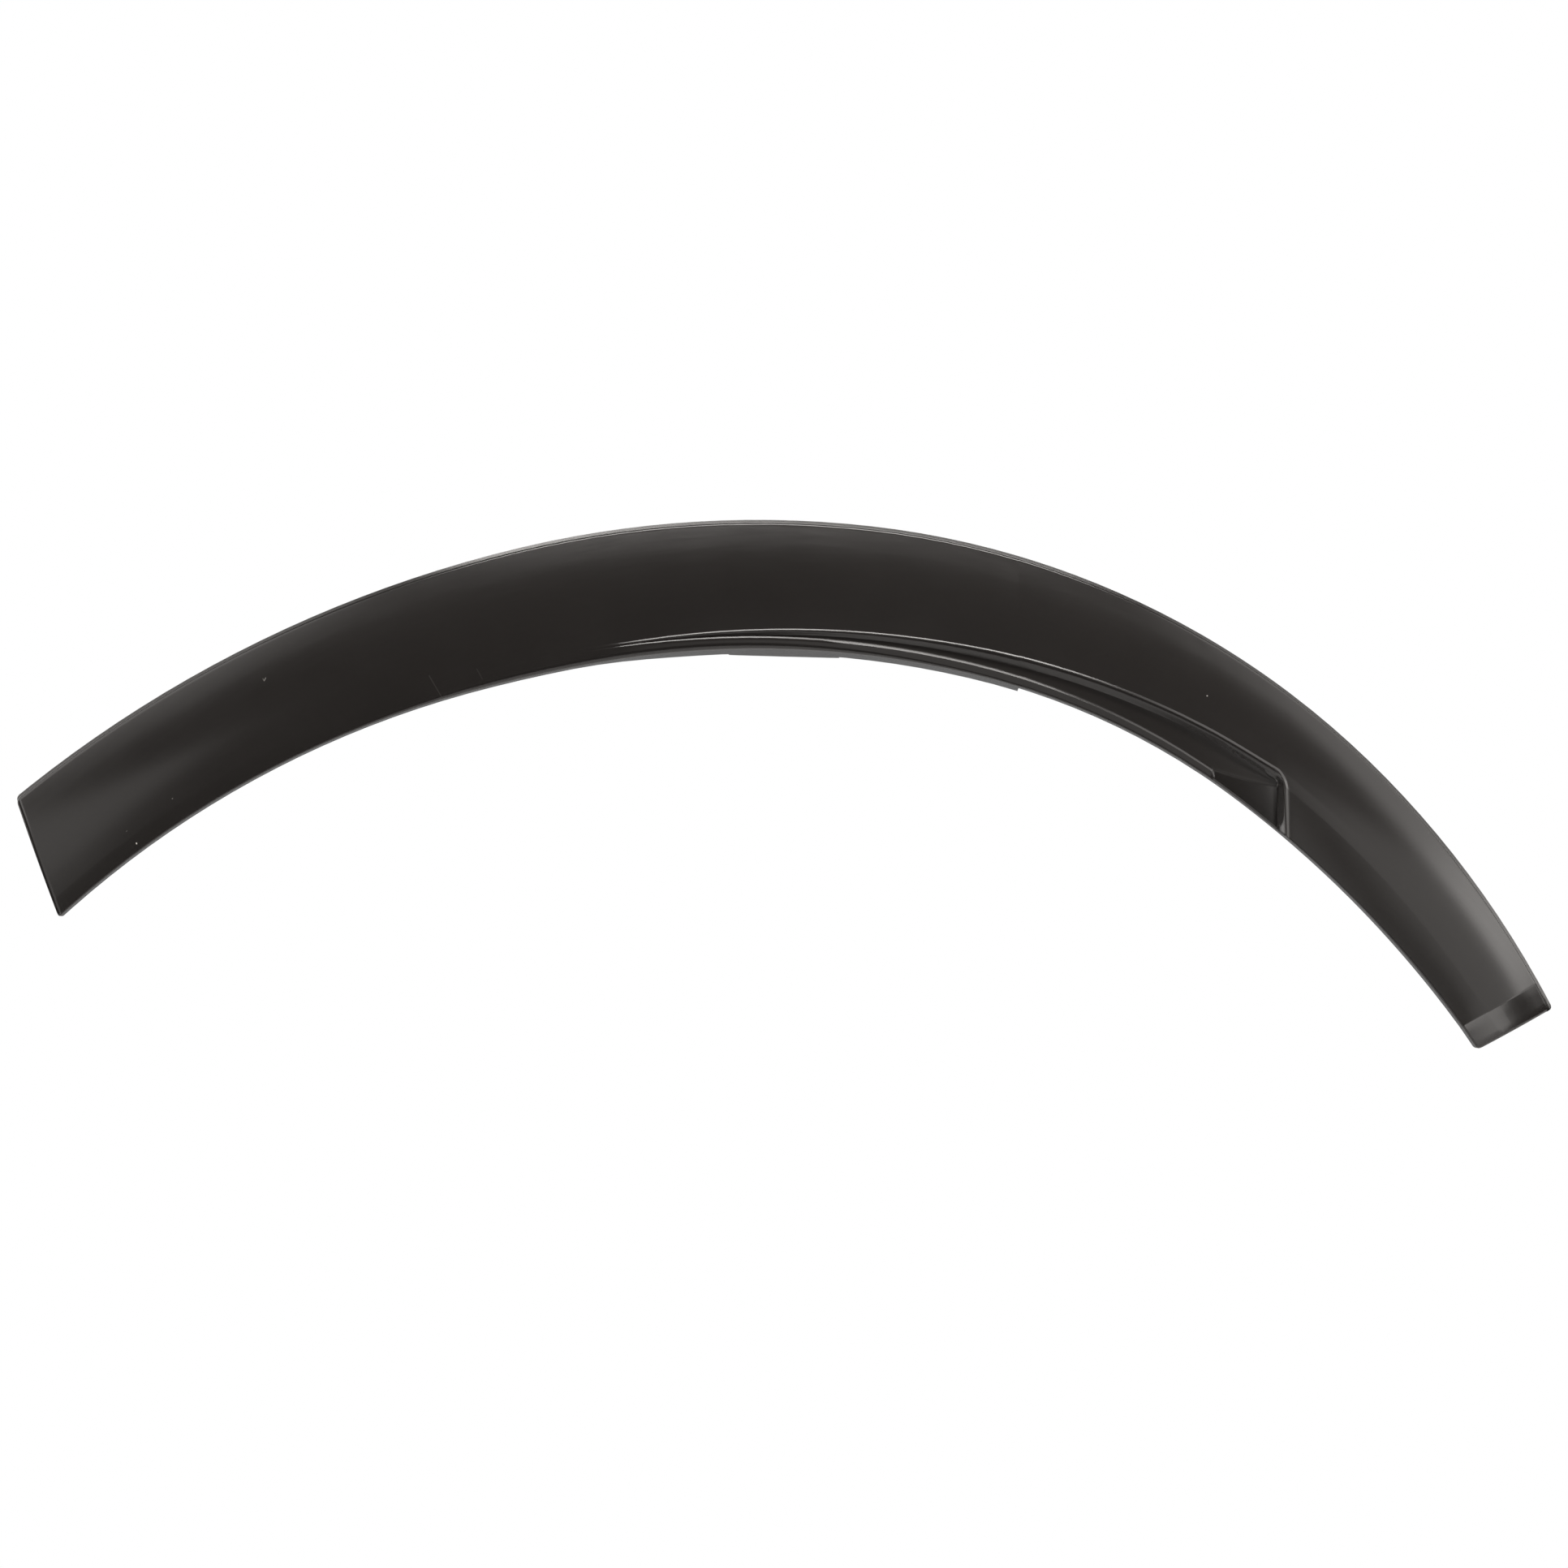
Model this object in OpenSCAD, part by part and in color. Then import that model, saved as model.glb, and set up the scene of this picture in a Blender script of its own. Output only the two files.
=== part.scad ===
// Wheel arch trim: a moulded plastic cover for the edge of a wheel opening.
// It is one open-backed shell: a face that flares out, a return and a sealing foot on the side of the body,
// a rolled edge and a flange round the opening, and a scoop that widens along the edge to an end wall.
// Frame: +X along the trim as seen from outside, +Y into the vehicle, +Z up.
// Origin: the centre of the screw hole, on the underside of the tab at the crown of the arch.

/* [Opening edge] */
// Height of the edge above the underside of the tab, at the crown
in_crown_z = 2.7; // [2.3:0.1:3]
// Slope of the edge at the crown, falling to the right, in degrees
in_slope = 1.6; // [0:0.1:3]
// Radius at the crown
in_r_crown = 431; // [420:1:442]
// Turn of that arc to the left of the crown, in degrees
in_turn_crown_left = 11.8; // [10:0.1:13]
// Turn of that arc to the right of the crown, in degrees
in_turn_crown_right = 12.4; // [11:0.1:14]
// Radius of the flatter stretch to the left
in_r_left = 706; // [680:1:730]
// Turn of the flatter stretch, in degrees
in_turn_left = 4.5; // [3:0.1:6]
// Radius towards the left end
in_r_left_end = 467; // [455:1:480]
// Radius of the tighter stretch to the right, under the scoop
in_r_right = 330; // [320:1:340]
// Turn of the tighter stretch, in degrees
in_turn_right = 22.9; // [21:0.1:25]
// Radius towards the tip
in_r_tip = 511; // [495:1:527]
// Length of the edge from the crown to the left end
in_len_left = 369; // [362:1:372]
// Length of the edge from the crown to the tip
in_len_right = 389; // [385:1:392]

/* [Body-side edge] */
// Height of this edge above the opening edge, at the crown
out_rise = 60.7; // [58:0.1:64]
// Slope of the edge at the crown, falling to the right, in degrees
out_slope = 1.5; // [0:0.1:3]
// Radius at the crown
out_r_crown = 479; // [468:1:490]
// Turn of that arc to the left of the crown, in degrees
out_turn_crown_left = 14.9; // [13:0.1:17]
// Turn of that arc to the right of the crown, in degrees
out_turn_crown_right = 4.9; // [4:0.1:6]
// Radius towards the left end
out_r_left_end = 592; // [575:1:610]
// Radius of the shoulder to the right
out_r_right = 399; // [390:1:408]
// Turn of the shoulder, in degrees
out_turn_right = 37.8; // [36:0.1:40]
// Radius towards the tip
out_r_tip = 448; // [435:1:460]
// Length of the edge from the crown to the left end
out_len_left = 390; // [384:1:393]
// Length of the edge from the crown to the tip
out_len_right = 448; // [443:1:451]

/* [Shell] */
// Wall of the moulding
wall = 2.4; // [1.8:0.1:3]
// How far the face flares out between its two edges, at the crown
flare = 17; // [12:0.5:20]
// How far it still flares out at the two ends
flare_end = 10; // [8:0.5:12]
// Radius of the body side in plan, over which the trim bends
plan_r = 4500; // [3500:100:6000]
// Depth of the return on the side of the body
return_d = 8; // [6:0.5:11]
// Radius of the crease between the return and the face
crease_r = 1.6; // [1:0.1:2]
// Width of the foot that seals against the body
foot_w = 1.2; // [1:0.1:1.8]
// Thickness of the foot
foot_t = 1.5; // [1:0.1:2.5]
// Slope of the foot's outer side, in degrees
foot_slope = 30; // [20:1:40]
// How far the return leans out towards the foot
return_draft = 0.4; // [0.2:0.1:1]
// Depth of the flange round the opening, at the crown
flange_d = 23; // [21:0.5:26]
// Depth of the flange at the two ends
flange_d_end = 14; // [12:0.5:17]
// Rounding of the opening edge near the ends
edge_r = 1.3; // [0.8:0.1:2]
// Rounding of the opening edge left of the crown, where it is widest
edge_r_crown = 3.4; // [2:0.1:4]
// Rounding of the face into the two end walls
end_r = 1.8; // [1:0.1:2.2]
// Rounding of the corners of the two ends, in outline
corner_r = 1.9; // [1:0.1:3]
// Length of the facet at the tip
facet_len = 14.5; // [10:0.5:18]
// Angle by which that facet turns away, in degrees
facet_angle = 20; // [10:1:30]

/* [Skirt] */
// How far the flange leans below the opening edge along the crown
skirt_drop = 1.5; // [0.5:0.1:2.5]
// How far the flange leans out elsewhere, as draft
flange_draft = 0.3; // [0.2:0.1:0.6]
// Start of the leaning stretch, left of the crown
skirt_left = 100; // [80:1:130]
// End of the leaning stretch, right of the crown
skirt_right = 111; // [80:1:150]

/* [Scoop] */
// Start of the scoop, left of the crown
scoop_left = 93; // [80:1:110]
// Place of the end wall along the opening edge, right of the crown
wall_in = 254.5; // [248:1:261]
// Place of the end wall along the body-side edge, right of the crown
wall_out = 249; // [243:1:254]
// Height of the scoop above the lip, at the end wall
scoop_h = 24.2; // [20:0.1:28]
// Depth of the scoop at the end wall
scoop_d = 3.6; // [3:0.2:6]
// Width of the step from the face down to the scoop's floor
step_w = 4; // [2.8:0.1:4.4]
// Height of the rim that the face sweeps up to round the scoop
rim_h = 0.7; // [0.3:0.1:1]
// Width of that sweep
rim_w = 1.6; // [1:0.1:2]
// Radius of the corner between the scoop's upper edge and its end wall
scoop_corner_r = 4.5; // [3:0.5:8]
// Width of the lip below the scoop, at its end
lip_w = 4.5; // [4:0.1:5.5]
// Width of the lip where the scoop begins
lip_w_start = 6; // [5:0.1:7]
// How far the lip lies below the face at its end
lip_sink = 0.8; // [0:0.1:1.5]
// How far the lip stands proud of the scoop's floor, as a bead along its edge
lip_rise = 0.7; // [0.5:0.1:1]
// Half the width of that rise
crest_r = 0.6; // [0.4:0.05:0.9]
// End of the lip, right of the crown
lip_end = 210; // [195:1:220]
// Length over which the lip dies away at its end
lip_runout = 1.6; // [1:0.1:2.5]
// Angle by which the facet beyond the lip turns in, in degrees
scoop_facet_angle = 20; // [10:1:24]

/* [Screw tab] */
// Width of the tab along the edge
tab_w = 51.5; // [40:0.5:60]
// Reach of the tab behind the screw hole
tab_reach = 11; // [9:0.5:15]
// Reach of the tab in front of the screw hole, into the flange
tab_root = 26; // [24:0.5:27]
// Reach of the tab's flat seat in front of the screw hole
tab_seat = 7; // [6:0.5:9]
// How far the tab rises from that seat to its root in the flange
tab_lift = 2.5; // [2.4:0.1:2.8]
// Thickness of the tab
tab_t = 2.6; // [2:0.1:4]
// Chamfer on the tab's free corners
tab_chamfer = 4; // [2:0.5:8]
// Diameter of the screw hole
screw_d = 6.6; // [5:0.1:8]
// Distance from the screw hole out to the line of the body
hole_to_body = 7; // [5:0.5:10]

/* [Clip towers] */
// Places of the towers, as shares of the body-side edge's length on their side of the crown
towers = [-0.9, -0.55, -0.23, 0.135, 0.425, 0.86]; // [-0.9:0.005:0.9]
// Distance of a tower's centre from the body-side edge
tower_in = 20; // [18:0.5:22]
// Width of a tower along the edge
tower_w = 20; // [18:0.5:24]
// Height of a tower across the face
tower_h = 15; // [14:0.5:17]
// Wall of a tower
tower_wall = 1.8; // [1.4:0.1:2.2]
// Thickness of the pad that the clip snaps into
pad_t = 2.4; // [2:0.1:3]
// Gap between the pads and the body
pad_gap = 1; // [0.5:0.1:2]
// Diameter of the clip's seat
clip_d = 8; // [7:0.1:9]
// Width of the slot through which the clip slides in
clip_slot = 5; // [4:0.1:5.5]

/* [Pins and ribs] */
// Places of the locating pins, as such shares
pins = [-0.39, 0.28]; // [-0.7:0.005:0.7]
// Diameter of a locating pin
pin_d = 6; // [5:0.1:8]
// How far a pin reaches into the body
pin_reach = 9; // [6:0.5:12]
// Diameter of the pin's shoulder
shoulder_d = 11; // [9:0.5:12]
// Thickness of the shoulder
shoulder_t = 1.6; // [1.2:0.1:2]
// How far the shoulder stands out past the webs below it
shoulder_edge = 1; // [0.5:0.1:1.5]
// Places of the cross ribs, as such shares
ribs = [-0.73, -0.46, -0.31, 0, 0.22, 0.335, 0.715]; // [-0.8:0.005:0.8]
// Thickness of a rib
rib_t = 1.6; // [1.2:0.1:2]
// Height of a rib above the inside of the shell
rib_h = 5; // [3:0.5:6]

/* [Hidden] */
DEG = 180 / PI;
colour = "#262422";

// Lengths along the opening edge over which the skirt and the edge's wider rounding come and go
skirt_blend = 60;
edge_blend_left = 120;
edge_blend_right = 150;
// Shares of the two sides, from the crown, over which the section lines keep level with each other
even_left = 0.22;
even_right = 0.77;
// How much the section lines fan out per length, at the two ends and at the tip itself
fan = -0.1;
fan_tip = -0.06;
// Shares of the scoop's height and depth that grow evenly, the rest growing towards the end wall
scoop_even = 0.5;
deep_even = 0.25;
// Share of the floor's rise to the lip that is even, the rest steepening towards the lip
floor_even = 0.4;
// Height of the scoop where it begins
scoop_min = 0.8;
// Share of the scoop's length over which its rim and its lip rise
rim_from = 0.04;
// Size of a block larger than anything that stands inside the shell
wide = 40;

out_left = [[out_r_crown, out_turn_crown_left], [out_r_left_end, 90]];
out_right = [[out_r_crown, out_turn_crown_right], [out_r_right, out_turn_right], [out_r_tip, 90]];
in_left = [[in_r_crown, in_turn_crown_left], [in_r_left, in_turn_left], [in_r_left_end, 90]];
in_right = [[in_r_crown, in_turn_crown_right], [in_r_right, in_turn_right], [in_r_tip, 90]];

// The point at a length s along an arc that starts at p, heads up by dir degrees and bends down.
function on_arc(p, dir, r, s) =
    let (d = dir - s / r * DEG)
    [p[0] + r * (sin(dir) - sin(d)), p[1] - r * (cos(dir) - cos(d))];

// The same along a chain of tangent arcs, each given as [radius, turn].
function on_chain(p, dir, arcs, s, i = 0) =
    let (r = arcs[i][0], turn = arcs[i][1], arc = r * turn / DEG)
    s <= arc ? on_arc(p, dir, r, s) : on_chain(on_arc(p, dir, r, arc), dir - turn, arcs, s - arc, i + 1);

// The same from the crown, to the right for a positive length and to the left for a negative one.
function on_edge(z, slope, left, right, s) =
    s >= 0 ? on_chain([0, z], -slope, right, s)
    : let (p = on_chain([0, z], slope, left, -s)) [-p[0], p[1]];

function in_edge(s) = on_edge(in_crown_z, in_slope, in_left, in_right, s);
function out_edge(s) = on_edge(in_crown_z + out_rise, out_slope, out_left, out_right, s);

// Section lines join the two edges. Each is named by its length along the body-side edge, and the length
// along the opening edge is ahead of that by a lead that changes smoothly: [place, lead, slope of the lead].
facet_from = out_len_right - facet_len;
leads = [
    [-out_len_left, out_len_left - in_len_left, fan],
    [-out_len_left * even_left, 0, 0],
    [wall_out * even_right, 0, 0],
    [wall_out, wall_in - wall_out, 0],
    [facet_from, in_len_right - out_len_right - facet_len * (fan + fan_tip) / 2, fan],
    [out_len_right, in_len_right - out_len_right, fan_tip]
];
function hermite(t, h, a, b) =
    (1 + 2 * t) * (1 - t) * (1 - t) * a[1] + t * (1 - t) * (1 - t) * h * a[2]
    + t * t * (3 - 2 * t) * b[1] - t * t * (1 - t) * h * b[2];
function lead(s, i = 0) =
    s <= leads[i + 1][0] || i == len(leads) - 2
    ? let (h = leads[i + 1][0] - leads[i][0]) hermite((s - leads[i][0]) / h, h, leads[i], leads[i + 1])
    : lead(s, i + 1);
function in_len(s) = s + lead(s);

function lerp(a, b, t) = a + (b - a) * t;
function clamp(t) = max(0, min(1, t));
function smooth(t) = let (c = clamp(t)) c * c * (3 - 2 * c);
function round_in(d, r) = d >= r ? 0 : r - sqrt(r * r - (r - max(0, d)) * (r - max(0, d)));
function at_ends(s, mid, end) =
    lerp(mid, end, pow(abs(s) / (s < 0 ? out_len_left : out_len_right), 2));

// A section line: [outer point, direction to the inner point, length].
function line_at(s) =
    let (a = out_edge(s), b = in_edge(in_len(s)), d = b - a) [a, d / norm(d), norm(d)];

// The line of the body, against which the foot lies.
function body_y(x) = -hole_to_body + x * x / (2 * plan_r);

// Where the face begins, below the foot, the return and the crease.
return_a = foot_w + return_draft;
face_a = return_a + crease_r;

// The scoop at a section line: how far along it is, and its measures there.
function scoop_t(s) = (in_len(s) + scoop_left) / (wall_in + scoop_left);
wall_line = line_at(wall_out);
function scoop_height(s, l) =
    s > wall_out ? scoop_h * l / wall_line[2]
    : let (t = clamp(scoop_t(s))) max(scoop_min, scoop_h * t * lerp(pow(t, 3), 1, scoop_even));
function step_width(s, l) = min(step_w, scoop_height(s, l) / 2);
function lip_a(s, l) = l - lerp(lip_w, lip_w_start, pow(1 - clamp(scoop_t(s)), 2));
function upper_a(s, l) = lip_a(s, l) - scoop_height(s, l);
function beyond_lip(s) = clamp((in_len(s) - lip_end) / (wall_in - lip_end));
function ridge_a(s, l) =
    lerp(lip_a(s, l), upper_a(s, l) + step_width(s, l) + 2 * crest_r, beyond_lip(s));
function crest_round(s, l) = min(crest_r, scoop_height(s, l) / 3);
function grown(s) = smooth(scoop_t(s) / rim_from);
function edge_round(s) =
    let (left = smooth((in_len(s) + skirt_left + edge_blend_left) / edge_blend_left),
         right = smooth((skirt_right - in_len(s)) / edge_blend_right))
    lerp(edge_r, edge_r_crown, left * right);

// How far inside the scoop's outline a point lies: its upper edge, its end wall and the round corner
// between them.
function square_to_edge(s, e) = let (d = in_edge(in_len(s) + 1) - in_edge(in_len(s))) abs(cross(e, d));
function inside(p, s, a, line) =
    let (u = (a - upper_a(s, line[2])) * square_to_edge(s, line[1]),
         w = -cross(wall_line[1], p - wall_line[0]),
         r = scoop_corner_r)
    u < r && w < r ? r - norm([r - u, r - w]) : min(u, w);
function step_down(d, w) = smooth(d / w);
function rim(s, d) = rim_h * grown(s) * smooth(d / rim_w + 1);

// Depth of the scoop below the face, before the step: a floor that rises to the lip, the lip's bead, and the
// facet that turns in below the ridge where the lip has ended. The lip begins proud of the face, on top of the
// rim, so that both grow out of one ridge, and sinks towards its end.
function floor_depth(s, a, l) =
    let (t = clamp(scoop_t(s)),
         from = upper_a(s, l) + step_width(s, l),
         ridge = ridge_a(s, l),
         c = crest_round(s, l),
         past = smooth((in_len(s) - lip_end) / lip_runout),
         crest = lerp(-rim_h - lip_rise, lip_sink, sqrt(t)) * grown(s),
         rise = lip_rise * grown(s) * c / crest_r,
         deep = crest + rise + (scoop_d - lip_sink - lip_rise) * t * lerp(t, 1, deep_even),
         part = clamp((min(a, ridge) - from) / (lip_a(s, l) - c - from)),
         down = part * lerp(part, 1, floor_even),
         softened = max(0, 1 - abs(a - ridge) / c) * c / 4)
    t <= 0 ? 0
    : lerp(deep, crest + rise, down)
        - rise * (1 - past) * clamp((a - ridge + c) / (2 * c))
        + past * (softened + max(0, a - ridge) * tan(scoop_facet_angle));
function scoop_depth(p, s, a, line) =
    let (d = inside(p, s, a, line), down = step_down(d, step_width(s, line[2])))
    floor_depth(s, a, line[2]) * down - rim(s, d) * (1 - down);

// The bare face: it leaves the crease, flares out and stands upright at the opening edge.
function face_y(s, a, l) =
    let (q = clamp((a - face_a) / (l - face_a)))
    -return_d - at_ends(s, flare, flare_end) * q * (2 - q) + tan(facet_angle) * max(0, s - facet_from);
function from_end(s) = min(s + out_len_left, out_len_right - s);

// How far the flange leans below the opening edge.
function lean(s) =
    let (n = in_len(s))
    flange_draft + (n < skirt_right ? skirt_drop * smooth((n + skirt_left) / skirt_blend) : 0);

// Length along the body-side edge for each length along the opening edge, between the lip's end and the wall
out_per_in = wall_out * (1 - even_right) / (wall_in - wall_out * even_right);

// Stations along the trim: spread evenly, and close together at the ends, the lip's end and the end wall.
function spread(from, to, n) = [for (i = [0 : n - 1]) lerp(from, to, i / n)];
lip_out = wall_out - (wall_in - lip_end) * out_per_in;
stations = concat(
    [for (k = [0, 0.12, 0.45, 1, 1.5]) -out_len_left + k * end_r],
    spread(-out_len_left + 8, -scoop_left - 6, 22),
    spread(-scoop_left - 6, skirt_right - 0.4, 18),
    [skirt_right - 0.4, skirt_right + 0.1],
    spread(skirt_right + 6, lip_out - 4, 8),
    [for (d = [-4, -1.5, 0, 0.6, 1.2, 1.9, 3]) lip_out + d],
    spread(lip_out + 6, wall_out - 12, 4),
    [for (d = [12, 9.5, 7.5, 6, 4.9, 4, 3.2, 2.5, 1.9, 1.3, 0.7, 0]) wall_out - d],
    [for (k = [0.25, 0.5, 0.75, 1.05, 1.6]) wall_out + k * rim_w],
    spread(wall_out + 6, facet_from - 0.6, 15),
    [facet_from - 0.6, facet_from + 0.6],
    [facet_from + 5],
    [for (k = [2.5, 1, 0.45, 0.12, 0]) out_len_right - k * end_r]
);
inner_stations = concat(
    [-out_len_left + wall],
    spread(-out_len_left + 14, -scoop_left, 13),
    spread(-scoop_left, lip_out, 13),
    [for (d = [0, 1.6]) lip_out + d],
    spread(lip_out + 8, wall_out - 12, 2),
    [for (d = [12, 7, 4, 2, 0.6, -0.6, -1.8, -3.5]) wall_out - d],
    spread(wall_out + 14, facet_from, 8),
    [facet_from, out_len_right - wall]
);

// Outside of a section: [distance from the body-side edge, y from the line of the body], from foot to flange.
// The outline's corners are rounded by taking a little off both ends of the end sections.
function outside(s) =
    let (line = line_at(s), l = line[2],
         off = round_in(from_end(s), corner_r),
         roll = round_in(from_end(s), end_r),
         upper = upper_a(s, l), step = step_width(s, l), ridge = ridge_a(s, l),
         crest = crest_round(s, l), r = edge_round(s),
         turn = 90 - atan(2 * at_ends(s, flare, flare_end) / (l - face_a)),
         places = concat(
             [for (i = [0 : 5]) lerp(face_a, upper - rim_w, i / 6)],
             [for (k = [1.05, 0.75, 0.5, 0.25]) upper - k * rim_w],
             [for (k = [0, 0.2, 0.4, 0.65, 1]) upper + k * step],
             [for (k = [0.3, 0.65, 0.9]) lerp(upper + step, ridge - crest, k)],
             [ridge - crest, ridge, ridge + crest],
             [lerp(ridge + crest, l - r, 0.5), l - r]),
         edge_y = face_y(s, l, l) + scoop_depth(line[0] + l * line[1], s, l, line) + roll)
    [for (p = concat(
        [[0, 0], [0, foot_w * tan(foot_slope) - foot_t], [foot_w, -foot_t]],
        [for (k = [0 : 0.25 : 0.75])
            [return_a + crease_r * (1 - cos(k * turn)) / (1 - cos(turn)),
             face_y(s, face_a, l) + crease_r * (sin(turn) - sin(k * turn)) + roll]],
        [for (a = places)
            [a, face_y(s, a, l) + scoop_depth(line[0] + a * line[1], s, a, line) + roll]],
        [for (k = [67.5, 45, 22.5, 0]) [l - r + r * cos(k), edge_y + r - r * sin(k)]],
        [[l + lean(s), face_y(s, l, l) + at_ends(s, flange_d, flange_d_end)]]))
        [lerp(off, l + lean(s) - off, p[0] / (l + lean(s))), p[1]]];

// Inside of a section, a wall behind the outside.
function deeper(s, a, line, shift) =
    floor_depth(s, a, line[2])
    * step_down(inside(line[0] + a * line[1], s, a, line) + shift, step_width(s, line[2]));
function within(s) =
    let (line = line_at(s), l = line[2],
         upper = upper_a(s, l), step = step_width(s, l), ridge = ridge_a(s, l),
         top = return_a + wall, bottom = l - wall, shift = 0.7 * wall,
         places = concat([for (i = [0 : 3]) lerp(top, upper - shift, i / 4)],
             [upper - shift, upper - shift + step, max(ridge, upper + step), bottom]))
    concat(
        [[top, 0]],
        [for (a = places) [a, face_y(s, a, l) + deeper(s, a, line, shift) + wall]],
        [[bottom + lean(s), face_y(s, l, l) + at_ends(s, flange_d, flange_d_end)]]);

// A row of points in space, and the row at the back edge of an end wall.
function row(s, section) =
    let (line = line_at(s))
    [for (p = section) let (q = line[0] + p[0] * line[1]) [q[0], body_y(q[0]) + p[1], q[1]]];
function back_row(s, section) =
    let (last = section[len(section) - 1], first = section[0])
    row(s, [for (p = section) [p[0], lerp(first[1], last[1], (p[0] - first[0]) / (last[0] - first[0]))]]);
function grid(list, sections) =
    let (n = len(list) - 1)
    concat([back_row(list[0], sections[0])],
        [for (i = [0 : n]) row(list[i], sections[i])],
        [back_row(list[n], sections[n])]);
function flat(rows) = [for (r = rows) for (p = r) p];

// Faces between neighbouring rows, and a strip between two lists of point numbers that run side by side.
function net(rows, width, from, out) =
    [for (i = [0 : rows - 2]) for (j = [0 : width - 2])
        let (a = from + i * width + j, b = a + 1, c = a + width, d = c + 1)
        for (f = out ? [[a, d, b], [a, c, d]] : [[a, b, d], [a, d, c]]) f];
function strip(a, ka, b, kb, i = 0, j = 0, done = []) =
    i == len(a) - 1 && j == len(b) - 1 ? done
    : j == len(b) - 1 || (i < len(a) - 1 && ka[i + 1] <= kb[j + 1])
    ? strip(a, ka, b, kb, i + 1, j, concat(done, [[a[i], a[i + 1], b[j]]]))
    : strip(a, ka, b, kb, i, j + 1, concat(done, [[a[i], b[j + 1], b[j]]]));
function turned(faces) = [for (f = faces) [f[0], f[2], f[1]]];

module shell() {
    out_sections = [for (s = stations) outside(s)];
    in_sections = [for (s = inner_stations) within(s)];
    w = len(out_sections[0]);
    v = len(in_sections[0]);
    n = len(stations);
    m = len(inner_stations);
    base = (n + 2) * w;
    top_out = [for (i = [1 : n]) i * w];
    top_in = [for (i = [1 : m]) base + i * v];
    low_out = [for (i = [1 : n]) i * w + w - 1];
    low_in = [for (i = [1 : m]) base + i * v + v - 1];
    left_out = [for (j = [0 : w - 1]) j];
    left_in = [for (j = [0 : v - 1]) base + j];
    tip_out = [for (j = [0 : w - 1]) (n + 1) * w + j];
    tip_in = [for (j = [0 : v - 1]) base + (m + 1) * v + j];
    polyhedron(
        points = concat(flat(grid(stations, out_sections)), flat(grid(inner_stations, in_sections))),
        faces = concat(
            net(n + 2, w, 0, true),
            net(m + 2, v, base, false),
            turned(strip(top_out, stations, top_in, inner_stations)),
            strip(low_out, stations, low_in, inner_stations),
            strip(left_out, [for (p = out_sections[0]) p[0]], left_in, [for (p = in_sections[0]) p[0]]),
            turned(strip(tip_out, [for (p = out_sections[n - 1]) p[0]],
                tip_in, [for (p = in_sections[m - 1]) p[0]]))));
}

// The place at a share of a side's length, left of the crown for a negative share.
function share(k) = k * (k < 0 ? out_len_left : out_len_right);

// A point on the bare outside of the shell, for seating what stands on its inside.
function skin(s, a) =
    let (line = line_at(s), q = line[0] + a * line[1])
    [q[0], body_y(q[0]) + face_y(s, a, line[2]), q[1]];
// The same at a true distance in from the body-side edge.
function slanted(s, d) = d / square_to_edge(s, line_at(s)[1]);

// Stands what is drawn, with +Y into the vehicle and +X along the edge, on the inside of the face. It is cut
// off in the middle of the wall, along the slope of the face.
module on_face(s, d) {
    a = slanted(s, d);
    seat = skin(s, a);
    along = out_edge(s + 1) - out_edge(s - 1);
    n = cross(skin(s + 1, a) - skin(s - 1, a), skin(s, a + 1) - skin(s, a - 1));
    out = n * (n[1] > 0 ? -1 : 1) / norm(n);
    difference() {
        translate([seat[0], 0, seat[2]]) rotate([0, -atan2(along[1], along[0]), 0]) children();
        translate(seat - out * wall / 2)
            rotate(a = acos(-out[1]), v = cross([0, -1, 0], out))
                translate([-wide, -2 * wide, -wide]) cube(2 * wide);
    }
}

// A clip tower: three walls and a pad with a keyhole, open towards the wheel so that a clip slides in.
module tower(s) {
    back = body_y(skin(s, slanted(s, tower_in))[0]) - pad_gap;
    room_w = tower_w - 2 * tower_wall;
    on_face(s, tower_in) difference() {
        translate([-tower_w / 2, -wide, -tower_h / 2]) cube([tower_w, back + wide, tower_h]);
        translate([-room_w / 2, -wide - 1, -tower_h / 2 - 1])
            cube([room_w, back - pad_t + wide + 1, tower_h - tower_wall + 1]);
        translate([0, back + 1, 0]) rotate([90, 0, 0]) cylinder(d = clip_d, h = pad_t + 2, $fn = 48);
        translate([-clip_slot / 2, back - pad_t - 1, -tower_h / 2 - 1])
            cube([clip_slot, pad_t + 2, tower_h / 2 + 1]);
    }
}

// A locating pin: its shoulder stands on a cross of two webs.
module pin(s) {
    x = skin(s, slanted(s, tower_in))[0];
    back = body_y(x) - pad_gap;
    length = pad_gap + pin_reach;
    web = shoulder_d - 2 * shoulder_edge;
    on_face(s, tower_in) {
        translate([0, back + length, 0]) rotate([90, 0, 0])
            cylinder(d = pin_d, h = length + shoulder_t / 2, $fn = 48);
        translate([0, back, 0]) rotate([90, 0, 0]) cylinder(d = shoulder_d, h = shoulder_t, $fn = 48);
        for (turn = [0, 90]) rotate([0, turn, 0])
            translate([-web / 2, -wide, -rib_t / 2]) cube([web, back - shoulder_t / 2 + wide, rib_t]);
    }
}

// A cross rib: it follows the inside of a section from the return to the flange.
module rib(s) {
    line = line_at(s);
    section = within(s);
    n = len(section) - 2;
    low = [for (i = [1 : n])
        [section[i][0] + (i == 1 ? -1 : i == n ? 1 : 0) * wall / 2, section[i][1] - wall / 2]];
    high = [for (i = [n - 1 : -1 : 0]) low[i] + [0, wall / 2 + rib_h]];
    e = line[1];
    multmatrix([[e[0], 0, -e[1], line[0][0]], [0, 1, 0, 0], [e[1], 0, e[0], line[0][1]], [0, 0, 0, 1]])
        translate([0, 0, -rib_t / 2]) linear_extrude(rib_t)
            polygon([for (p = concat(low, high)) [p[0], p[1] + body_y(line[0][0] + p[0] * e[0])]]);
}

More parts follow.
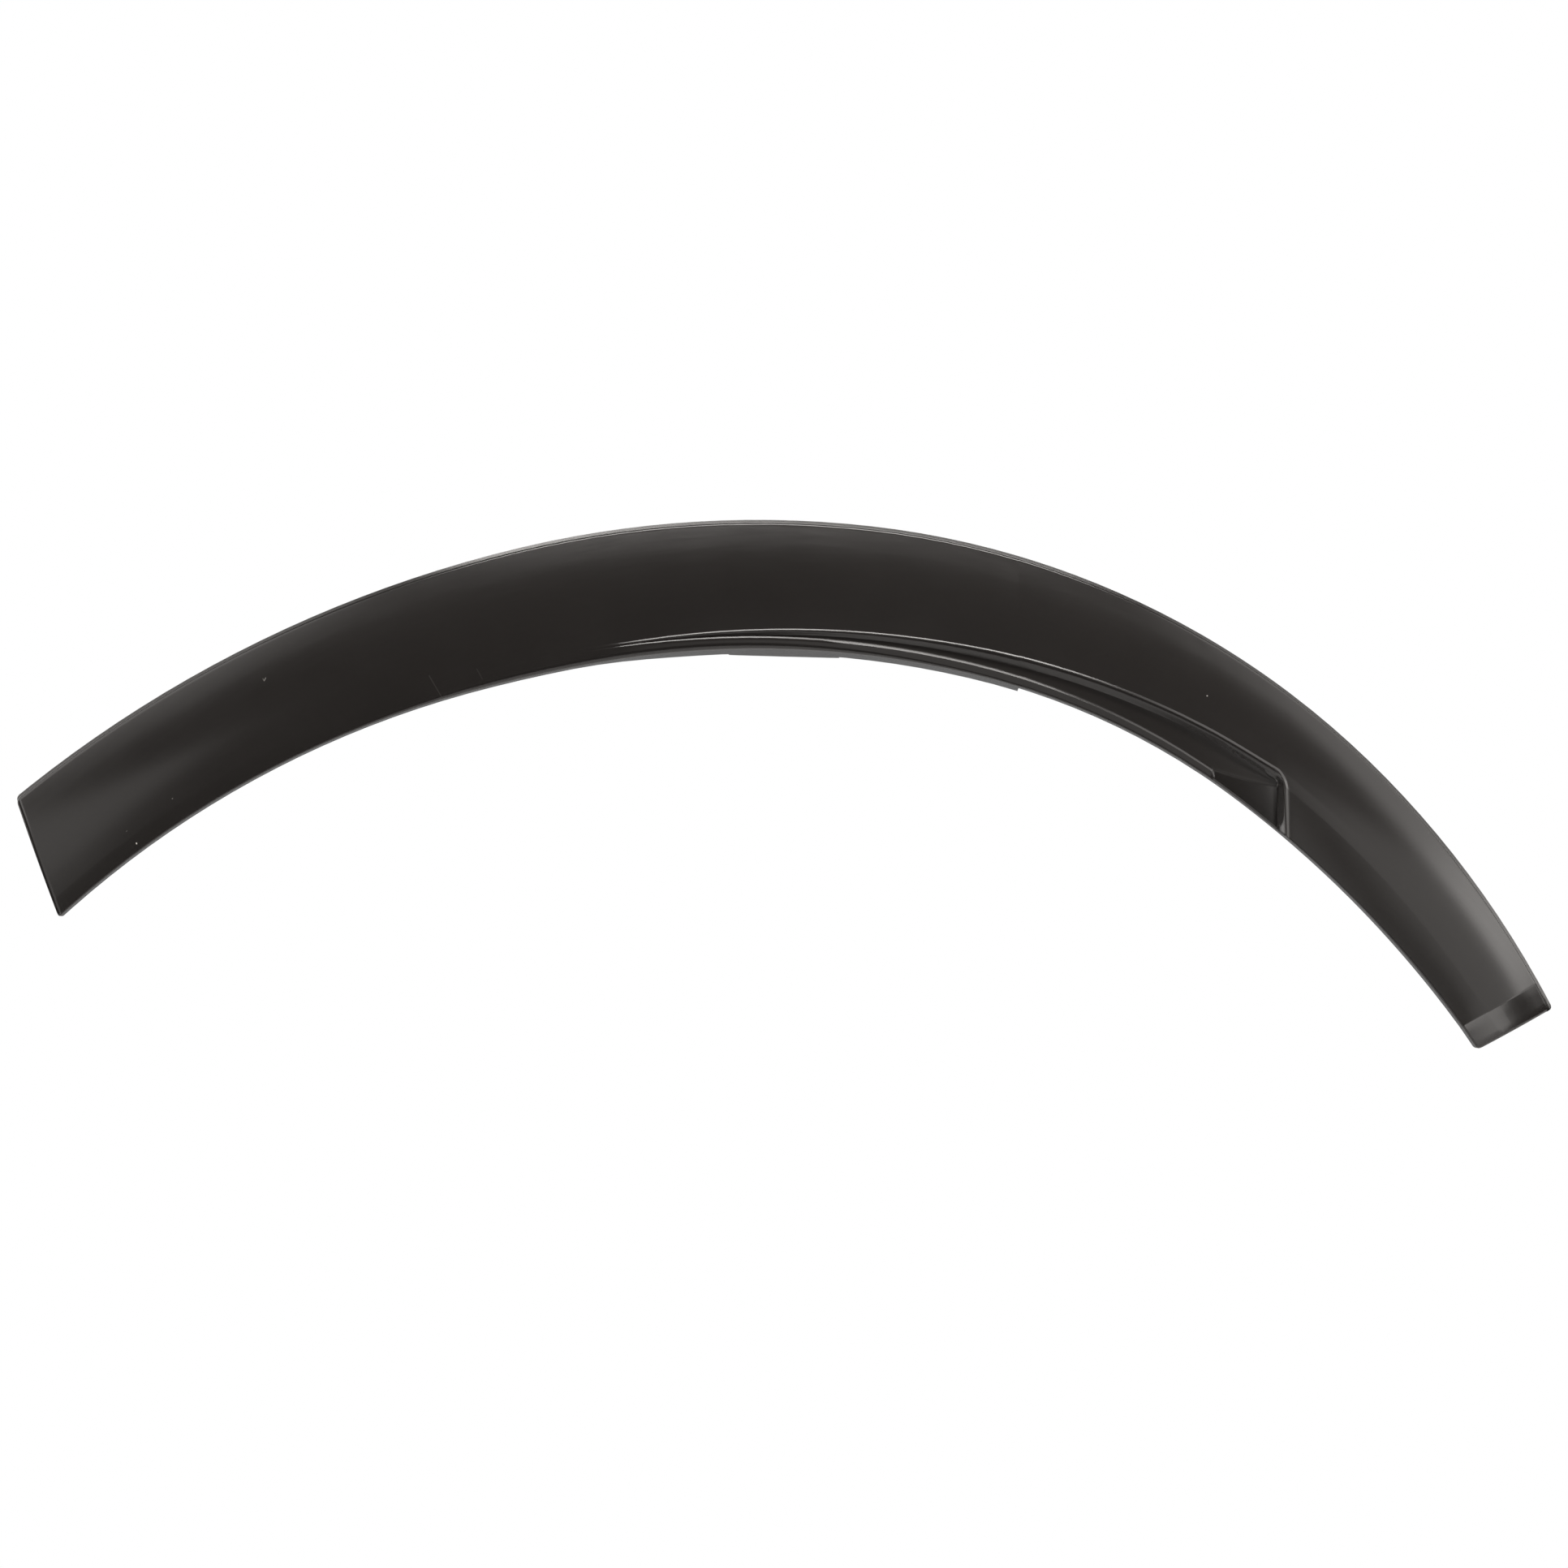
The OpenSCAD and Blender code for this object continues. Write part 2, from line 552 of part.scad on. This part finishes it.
// The tab for the screw into the wheel liner: flat round the hole, and rising from there into the flange.
module tab() {
    rotate([0, in_slope, 0]) difference() {
        intersection() {
            linear_extrude(tab_lift + tab_t) polygon([
                [-tab_w / 2, -tab_root], [tab_w / 2, -tab_root],
                [tab_w / 2, tab_reach - tab_chamfer], [tab_w / 2 - tab_chamfer, tab_reach],
                [-tab_w / 2 + tab_chamfer, tab_reach], [-tab_w / 2, tab_reach - tab_chamfer]]);
            translate([-tab_w, 0, 0]) rotate([90, 0, 90]) linear_extrude(2 * tab_w) polygon([
                [-tab_root - 1, tab_lift], [-tab_seat, 0], [tab_reach + 1, 0],
                [tab_reach + 1, tab_t], [-tab_seat, tab_t], [-tab_root - 1, tab_lift + tab_t]]);
        }
        translate([0, 0, -1]) cylinder(d = screw_d, h = tab_t + 2, $fn = 48);
    }
}

module arch_trim() {
    color(colour) {
        shell();
        for (k = towers) tower(share(k));
        for (k = pins) pin(share(k));
        for (k = ribs) rib(share(k));
        tab();
    }
}

arch_trim();
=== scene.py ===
"""A wheel arch trim of black moulded plastic, seen square on from outside the vehicle."""
import math
import bpy
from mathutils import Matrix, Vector


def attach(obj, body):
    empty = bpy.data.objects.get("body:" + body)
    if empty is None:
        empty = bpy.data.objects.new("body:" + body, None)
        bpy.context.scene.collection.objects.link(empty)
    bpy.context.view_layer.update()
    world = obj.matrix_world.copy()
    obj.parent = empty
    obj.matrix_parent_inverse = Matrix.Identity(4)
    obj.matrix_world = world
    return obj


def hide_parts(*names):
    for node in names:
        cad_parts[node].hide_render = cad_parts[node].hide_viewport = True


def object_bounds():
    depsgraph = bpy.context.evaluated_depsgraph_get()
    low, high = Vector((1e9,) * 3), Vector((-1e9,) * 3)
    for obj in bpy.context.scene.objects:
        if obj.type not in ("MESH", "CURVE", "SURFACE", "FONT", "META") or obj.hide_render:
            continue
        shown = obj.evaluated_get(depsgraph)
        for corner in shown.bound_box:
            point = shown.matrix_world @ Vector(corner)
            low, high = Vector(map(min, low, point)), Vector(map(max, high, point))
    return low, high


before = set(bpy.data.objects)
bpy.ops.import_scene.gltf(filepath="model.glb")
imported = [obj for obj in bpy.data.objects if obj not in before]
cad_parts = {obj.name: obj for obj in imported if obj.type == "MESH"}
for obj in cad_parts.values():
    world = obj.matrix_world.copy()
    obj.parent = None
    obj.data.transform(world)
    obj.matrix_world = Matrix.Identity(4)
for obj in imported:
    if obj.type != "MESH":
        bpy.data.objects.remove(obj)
cad_low, cad_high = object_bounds()


# The trim itself: one injection moulding of unpainted black polypropylene, with the scoop along its opening
# edge, the screw tab at the crown, and clip towers, locating pins and ribs behind the face. The CAD solid is
# right as it is, so a copy of it is merged and shaded smooth up to the edges that the mould leaves crisp.
MERGE = 1e-6                        # corners nearer to each other than this are one
THIN = 1e-5                         # a face narrower than this is dissolved
CREASE = math.radians(30)           # faces that meet at more than this meet at a crisp edge
INNER_CREASE = math.radians(14)     # the same behind the face, where webs and ribs meet the wall
INNER_LEAN = 0.1                    # a face whose normal points this far to the back counts as an inner one
FLAT_WEIGHT = 70                    # large faces lead the shading, so that flat stretches look flat

moulding = bpy.data.objects.new("trim_moulding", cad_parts["arch_trim"].data.copy())
bpy.context.scene.collection.objects.link(moulding)
bpy.ops.object.select_all(action="DESELECT")
moulding.select_set(True)
bpy.context.view_layer.objects.active = moulding
bpy.ops.object.mode_set(mode="EDIT")
bpy.ops.mesh.select_all(action="SELECT")
bpy.ops.mesh.remove_doubles(threshold=MERGE)
bpy.ops.mesh.dissolve_degenerate(threshold=THIN)
bpy.ops.object.mode_set(mode="OBJECT")
bpy.ops.object.shade_smooth()
normals = {}
for face in moulding.data.polygons:
    for key in face.edge_keys:
        normals.setdefault(key, []).append(face.normal.copy())
for edge in moulding.data.edges:
    one, other = normals[edge.key]
    inner = max(one.y, other.y) > INNER_LEAN
    edge.use_edge_sharp = one.angle(other, 0) > (INNER_CREASE if inner else CREASE)
even = moulding.modifiers.new("even_shading", "WEIGHTED_NORMAL")
even.keep_sharp = True
even.weight = FLAT_WEIGHT
bpy.ops.object.modifier_apply(modifier=even.name)


# Black polypropylene, through-coloured. The finely grained mould leaves it satin, with soft highlights, and
# with faint flow streaks along the arch and cloudy patches. On it are the specks of dust, the smear and the
# two faint scratches that the photograph shows.
PLASTIC_IOR = 1.49
PLASTIC_TONES = ("#211f1e", "#272524")      # of the darkest and the palest patches
SHEEN = (0.17, 0.195)                       # roughness between the streaks and on them
CLOUD_SHEEN = 0.02                          # how much the cloudy patches add to it
CLOUD = 0.045                               # across a patch
OPENING_RADIUS = 0.431
HUB = (0, 0, 0.003 - OPENING_RADIUS)        # the wheel's middle, as the opening edge is 3 mm up at the crown
STREAK_WIDTH = 0.0011                       # drawn wide enough to show, as the grain is
STREAK_TURNS = 16                           # streaks in a radian, so each is 27 mm long at the opening edge
STREAK_RANGE = (0.3, 0.7)                   # of the noise, which seldom goes past it
STREAK_RELIEF = 0.5                         # against the grain's height
GRAIN = 0.0009              # drawn coarser than the mould's 0.2 mm grain, which the picture can't hold
GRAIN_DEPTH = 0.00005
GRAIN_STRENGTH = 0.1
DUST = "#e2ded8"
MARK_CORE = 0.6                             # how much of a mark's half width is at its full paleness
MILLIMETRES = 1000
MARKS = [
    # Each mark's two ends, across and up, and half its width, in millimetres, and how pale it is.
    # Specks of dust:
    ((-301.5, -87.2), (-301.4, -87.5), 0.33, 0.9),
    ((-284.7, -66.5), (-284.6, -66.5), 0.3, 0.2),
    ((-306.3, -81.8), (-305.9, -81.5), 0.25, 0.07),
    ((196.8, -18.7), (196.9, -18.7), 0.33, 0.5),
    # The two strokes of the smear:
    ((-242.1, -11.6), (-241.4, -10.3), 0.26, 0.2),
    ((-242.7, -10.7), (-242.1, -11.6), 0.22, 0.12),
    # Scratches:
    ((-164.8, -9.4), (-159.0, -19.2), 0.3, 0.02),
    ((-142.6, -6.3), (-140.1, -10.8), 0.3, 0.014),
]


def linear(hex_colour):
    """An sRGB hex colour as the linear values that a shader takes."""
    parts = [int(hex_colour[i:i + 2], 16) / 255 for i in (1, 3, 5)]
    return (*[c / 12.92 if c <= 0.04045 else ((c + 0.055) / 1.055) ** 2.4 for c in parts], 1)


def add(owner, kind, inputs=None, **settings):
    """Adds a node with its settings to a material or the world, and sets or links the inputs it is given."""
    tree = owner.node_tree
    node = tree.nodes.new("ShaderNode" + kind)
    for name, value in settings.items():
        setattr(node, name, value)
    for name, value in (inputs or {}).items():
        if isinstance(value, bpy.types.NodeSocket):
            tree.links.new(value, node.inputs[name])
        else:
            node.inputs[name].default_value = value
    return node


def grained_polypropylene():
    material = bpy.data.materials.new("black_polypropylene")
    material.use_nodes = True
    place = add(material, "TexCoord").outputs["Object"]

    # Polar places about the wheel's hub, so that the streaks follow the arch.
    spoke = add(material, "VectorMath", {0: place, 1: HUB}, operation="SUBTRACT").outputs["Vector"]
    spoke = add(material, "VectorMath", {0: spoke, 1: (1, 0, 1)}, operation="MULTIPLY").outputs["Vector"]
    reach = add(material, "VectorMath", {0: spoke}, operation="LENGTH").outputs["Value"]
    parts = add(material, "SeparateXYZ", {"Vector": spoke}).outputs
    turn = add(material, "Math", {0: parts["X"], 1: parts["Z"]}, operation="ARCTAN2").outputs["Value"]
    across = add(material, "Math", {0: reach, 1: STREAK_WIDTH}, operation="DIVIDE").outputs["Value"]
    along = add(material, "Math", {0: turn, 1: STREAK_TURNS}, operation="MULTIPLY").outputs["Value"]
    polar = add(material, "CombineXYZ", {"X": across, "Y": along}).outputs["Vector"]
    streaks = add(material, "TexNoise", {"Vector": polar, "Scale": 1.0, "Detail": 2.0}).outputs["Fac"]
    clouds = add(material, "TexNoise", {"Vector": place, "Scale": 1 / CLOUD, "Detail": 3.0}).outputs["Fac"]

    # The marks: how far each point of the face lies from a short line, seen square on.
    scale = (MILLIMETRES, 0, MILLIMETRES)
    flat = add(material, "VectorMath", {0: place, 1: scale}, operation="MULTIPLY").outputs["Vector"]
    dust = 0.0
    for (x1, z1), (x2, z2), width, pale in MARKS:
        start = Vector((x1, 0, z1))
        line = Vector((x2 - x1, 0, z2 - z1))
        step = line / line.length_squared
        away = add(material, "VectorMath", {0: flat, 1: start}, operation="SUBTRACT").outputs["Vector"]
        share = add(material, "VectorMath", {0: away, 1: step}, operation="DOT_PRODUCT").outputs["Value"]
        share = add(material, "Clamp", {"Value": share}).outputs["Result"]
        foot = add(material, "VectorMath", {0: line, "Scale": share}, operation="SCALE").outputs["Vector"]
        gap = add(material, "VectorMath", {0: away, 1: foot}, operation="DISTANCE").outputs["Value"]
        mark = add(material, "MapRange", {
            "Value": gap, "From Min": width, "From Max": MARK_CORE * width, "To Max": pale,
        }).outputs["Result"]
        dust = add(material, "Math", {0: dust, 1: mark}, operation="MAXIMUM").outputs["Value"]

    dark, light = [linear(tone) for tone in PLASTIC_TONES]
    clean = add(material, "Mix", {"Factor": clouds, "A": dark, "B": light}, data_type="RGBA")
    clean = clean.outputs["Result"]
    tone = add(material, "Mix", {"Factor": dust, "A": clean, "B": linear(DUST)}, data_type="RGBA")
    sheen = add(material, "MapRange", {
        "Value": streaks, "From Min": STREAK_RANGE[0], "From Max": STREAK_RANGE[1],
        "To Min": SHEEN[0], "To Max": SHEEN[1],
    }).outputs["Result"]
    sheen = add(material, "Math", {0: clouds, 1: CLOUD_SHEEN, 2: sheen}, operation="MULTIPLY_ADD")
    grain = add(material, "TexNoise", {"Vector": place, "Scale": 1 / GRAIN, "Detail": 2.0}).outputs["Fac"]
    grain = add(material, "Math", {0: streaks, 1: STREAK_RELIEF, 2: grain}, operation="MULTIPLY_ADD")
    relief = add(material, "Bump", {
        "Strength": GRAIN_STRENGTH, "Distance": GRAIN_DEPTH, "Height": grain.outputs["Value"],
    })

    shader = material.node_tree.nodes["Principled BSDF"]
    shader.inputs["IOR"].default_value = PLASTIC_IOR
    link = material.node_tree.links.new
    link(tone.outputs["Result"], shader.inputs["Base Color"])
    link(sheen.outputs["Value"], shader.inputs["Roughness"])
    link(relief.outputs["Normal"], shader.inputs["Normal"])
    return material


moulding.data.materials.clear()
moulding.data.materials.append(grained_polypropylene())
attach(moulding, "root")
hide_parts("arch_trim")


# The floor: a sheet of pale matt paper, well below the trim, which hangs clear of it. The camera sees it
# almost white, and the trim's soft shadow stays on it.
FLOOR_SIZE = 2.0
FLOOR_BACK = 0.55       # its middle lies this far behind the trim
FLOOR_DROP = 0.4
PAPER = "#eeeeee"
PAPER_ROUGHNESS = 0.9
PAPER_GLOW = 0.7        # the share of plain white in what the camera sees of it
WHITE = (1, 1, 1, 1)

bpy.ops.object.select_all(action="DESELECT")
bpy.ops.mesh.primitive_plane_add(size=FLOOR_SIZE, location=(0, FLOOR_BACK, cad_low[2] - FLOOR_DROP))
floor = bpy.context.object
floor.name = "floor"
bpy.ops.object.transform_apply(location=True, rotation=True, scale=True)
pale = bpy.data.materials.new("pale_floor_paper")
pale.use_nodes = True
paper = pale.node_tree.nodes["Principled BSDF"]
paper.inputs["Base Color"].default_value = linear(PAPER)
paper.inputs["Roughness"].default_value = PAPER_ROUGHNESS
shine = add(pale, "Emission", {"Color": WHITE, "Strength": 1.0})
seen = add(pale, "LightPath").outputs["Is Camera Ray"]
share = add(pale, "Math", {0: seen, 1: PAPER_GLOW}, operation="MULTIPLY")
blend = add(pale, "MixShader", {0: share.outputs[0], 1: paper.outputs[0], 2: shine.outputs[0]})
pale.node_tree.links.new(blend.outputs[0], pale.node_tree.nodes["Material Output"].inputs["Surface"])
floor.data.materials.append(pale)


# The lamps: soft boxes that stand round the trim, each named for its side. They stand where the photographed
# face mirrors them: the long one overhead draws the bright lines of the crease, the rim and the lip, and the
# wide ones at the sides light the two ends.
LAMP_DISTANCE = 1.7
LAMP_FRONT = (0.95, 0.95)
WIDE_FRONT = (1.3, 1.3)
OVERHEAD_FRONT = (1.6, 0.32)
LAMP_COLOUR = (1.0, 0.97, 0.94)
LAMPS = [
    # name, degrees round to the right from the camera, degrees up, watts, width and height of the front
    ("left", -75, 33, 12.5, WIDE_FRONT),
    ("left_behind", -112, 5, 3.0, LAMP_FRONT),
    ("front_left", -50, 3, 3.0, LAMP_FRONT),
    ("front", 12, 0, 1.8, LAMP_FRONT),
    ("front_right", 50, 3, 3.2, LAMP_FRONT),
    ("right_low", 76, 5, 6.5, LAMP_FRONT),
    ("right", 80, 32, 12.0, WIDE_FRONT),
    ("overhead", 6, 70, 30.0, OVERHEAD_FRONT),
    ("behind", 180, 50, 0.9, LAMP_FRONT),
    ("behind_left", -140, 10, 3.5, LAMP_FRONT),
    ("behind_right", 140, 10, 3.0, LAMP_FRONT),
    ("below_left", -40, -30, 7.0, LAMP_FRONT),
    ("below_right", 50, -30, 9.5, LAMP_FRONT),
]

for name, side, up, watts, front in LAMPS:
    lamp = bpy.data.lights.new(name, "AREA")
    lamp.shape = "RECTANGLE"
    lamp.size, lamp.size_y = front
    lamp.energy = watts
    lamp.color = LAMP_COLOUR
    holder = bpy.data.objects.new(name, lamp)
    bpy.context.scene.collection.objects.link(holder)
    side, up = math.radians(side), math.radians(up)
    away = Vector((math.sin(side) * math.cos(up), -math.cos(side) * math.cos(up), math.sin(up)))
    holder.location = LAMP_DISTANCE * away
    holder.rotation_euler = away.to_track_quat("Z", "Y").to_euler()


# The room: white all round to the camera. To the trim it is nearly dark, but for a faint backdrop behind it,
# which its edges mirror.
ROOM_LIGHT = 0.01
BACKDROP_LIGHT = 0.25
BACKDROP_RIM = (0.6, 0.9)       # how far back a direction points where the backdrop begins and is full

world = bpy.data.worlds.new("studio")
bpy.context.scene.world = world
world.use_nodes = True
room = world.node_tree.nodes["Background"]
room.inputs["Color"].default_value = (ROOM_LIGHT, ROOM_LIGHT, ROOM_LIGHT, 1)
white = add(world, "Background", {"Color": WHITE, "Strength": 1.0})
behind = add(world, "SeparateXYZ", {"Vector": add(world, "TexCoord").outputs["Generated"]}).outputs["Y"]
backdrop = add(world, "MapRange", {
    "Value": behind, "From Min": BACKDROP_RIM[0], "From Max": BACKDROP_RIM[1], "To Max": BACKDROP_LIGHT,
}).outputs["Result"]
seen = add(world, "LightPath").outputs["Is Camera Ray"]
shown = add(world, "Math", {0: seen, 1: backdrop}, operation="MAXIMUM").outputs["Value"]
mixed = add(world, "MixShader", {0: shown, 1: room.outputs[0], 2: white.outputs[0]})
world.node_tree.links.new(mixed.outputs[0], world.node_tree.nodes["World Output"].inputs["Surface"])


# The camera: far off with a long lens, so that the view is nearly without perspective. It looks square on
# from outside the vehicle, level with the middle of the photograph, and takes in what the photograph does.
PIXEL = 0.378e-3                        # of the trim, in one pixel of the photograph
PICTURE = 1932                          # pixels across the photograph
CAMERA_DISTANCE = 4.0
CAMERA_AIM = (0, -0.015, -0.0597)       # the middle of the photograph
SENSOR = 36
NEAR_CLIP = 0.01

camera = bpy.data.cameras.new("camera")
camera.sensor_width = SENSOR
camera.lens = SENSOR * CAMERA_DISTANCE / (PICTURE * PIXEL)
camera.clip_start = NEAR_CLIP
viewer = bpy.data.objects.new("camera", camera)
bpy.context.scene.collection.objects.link(viewer)
viewer.location = (CAMERA_AIM[0], CAMERA_AIM[1] - CAMERA_DISTANCE, CAMERA_AIM[2])
viewer.rotation_euler = (math.pi / 2, 0, 0)
bpy.context.scene.camera = viewer
bpy.context.scene.view_settings.view_transform = "Standard"
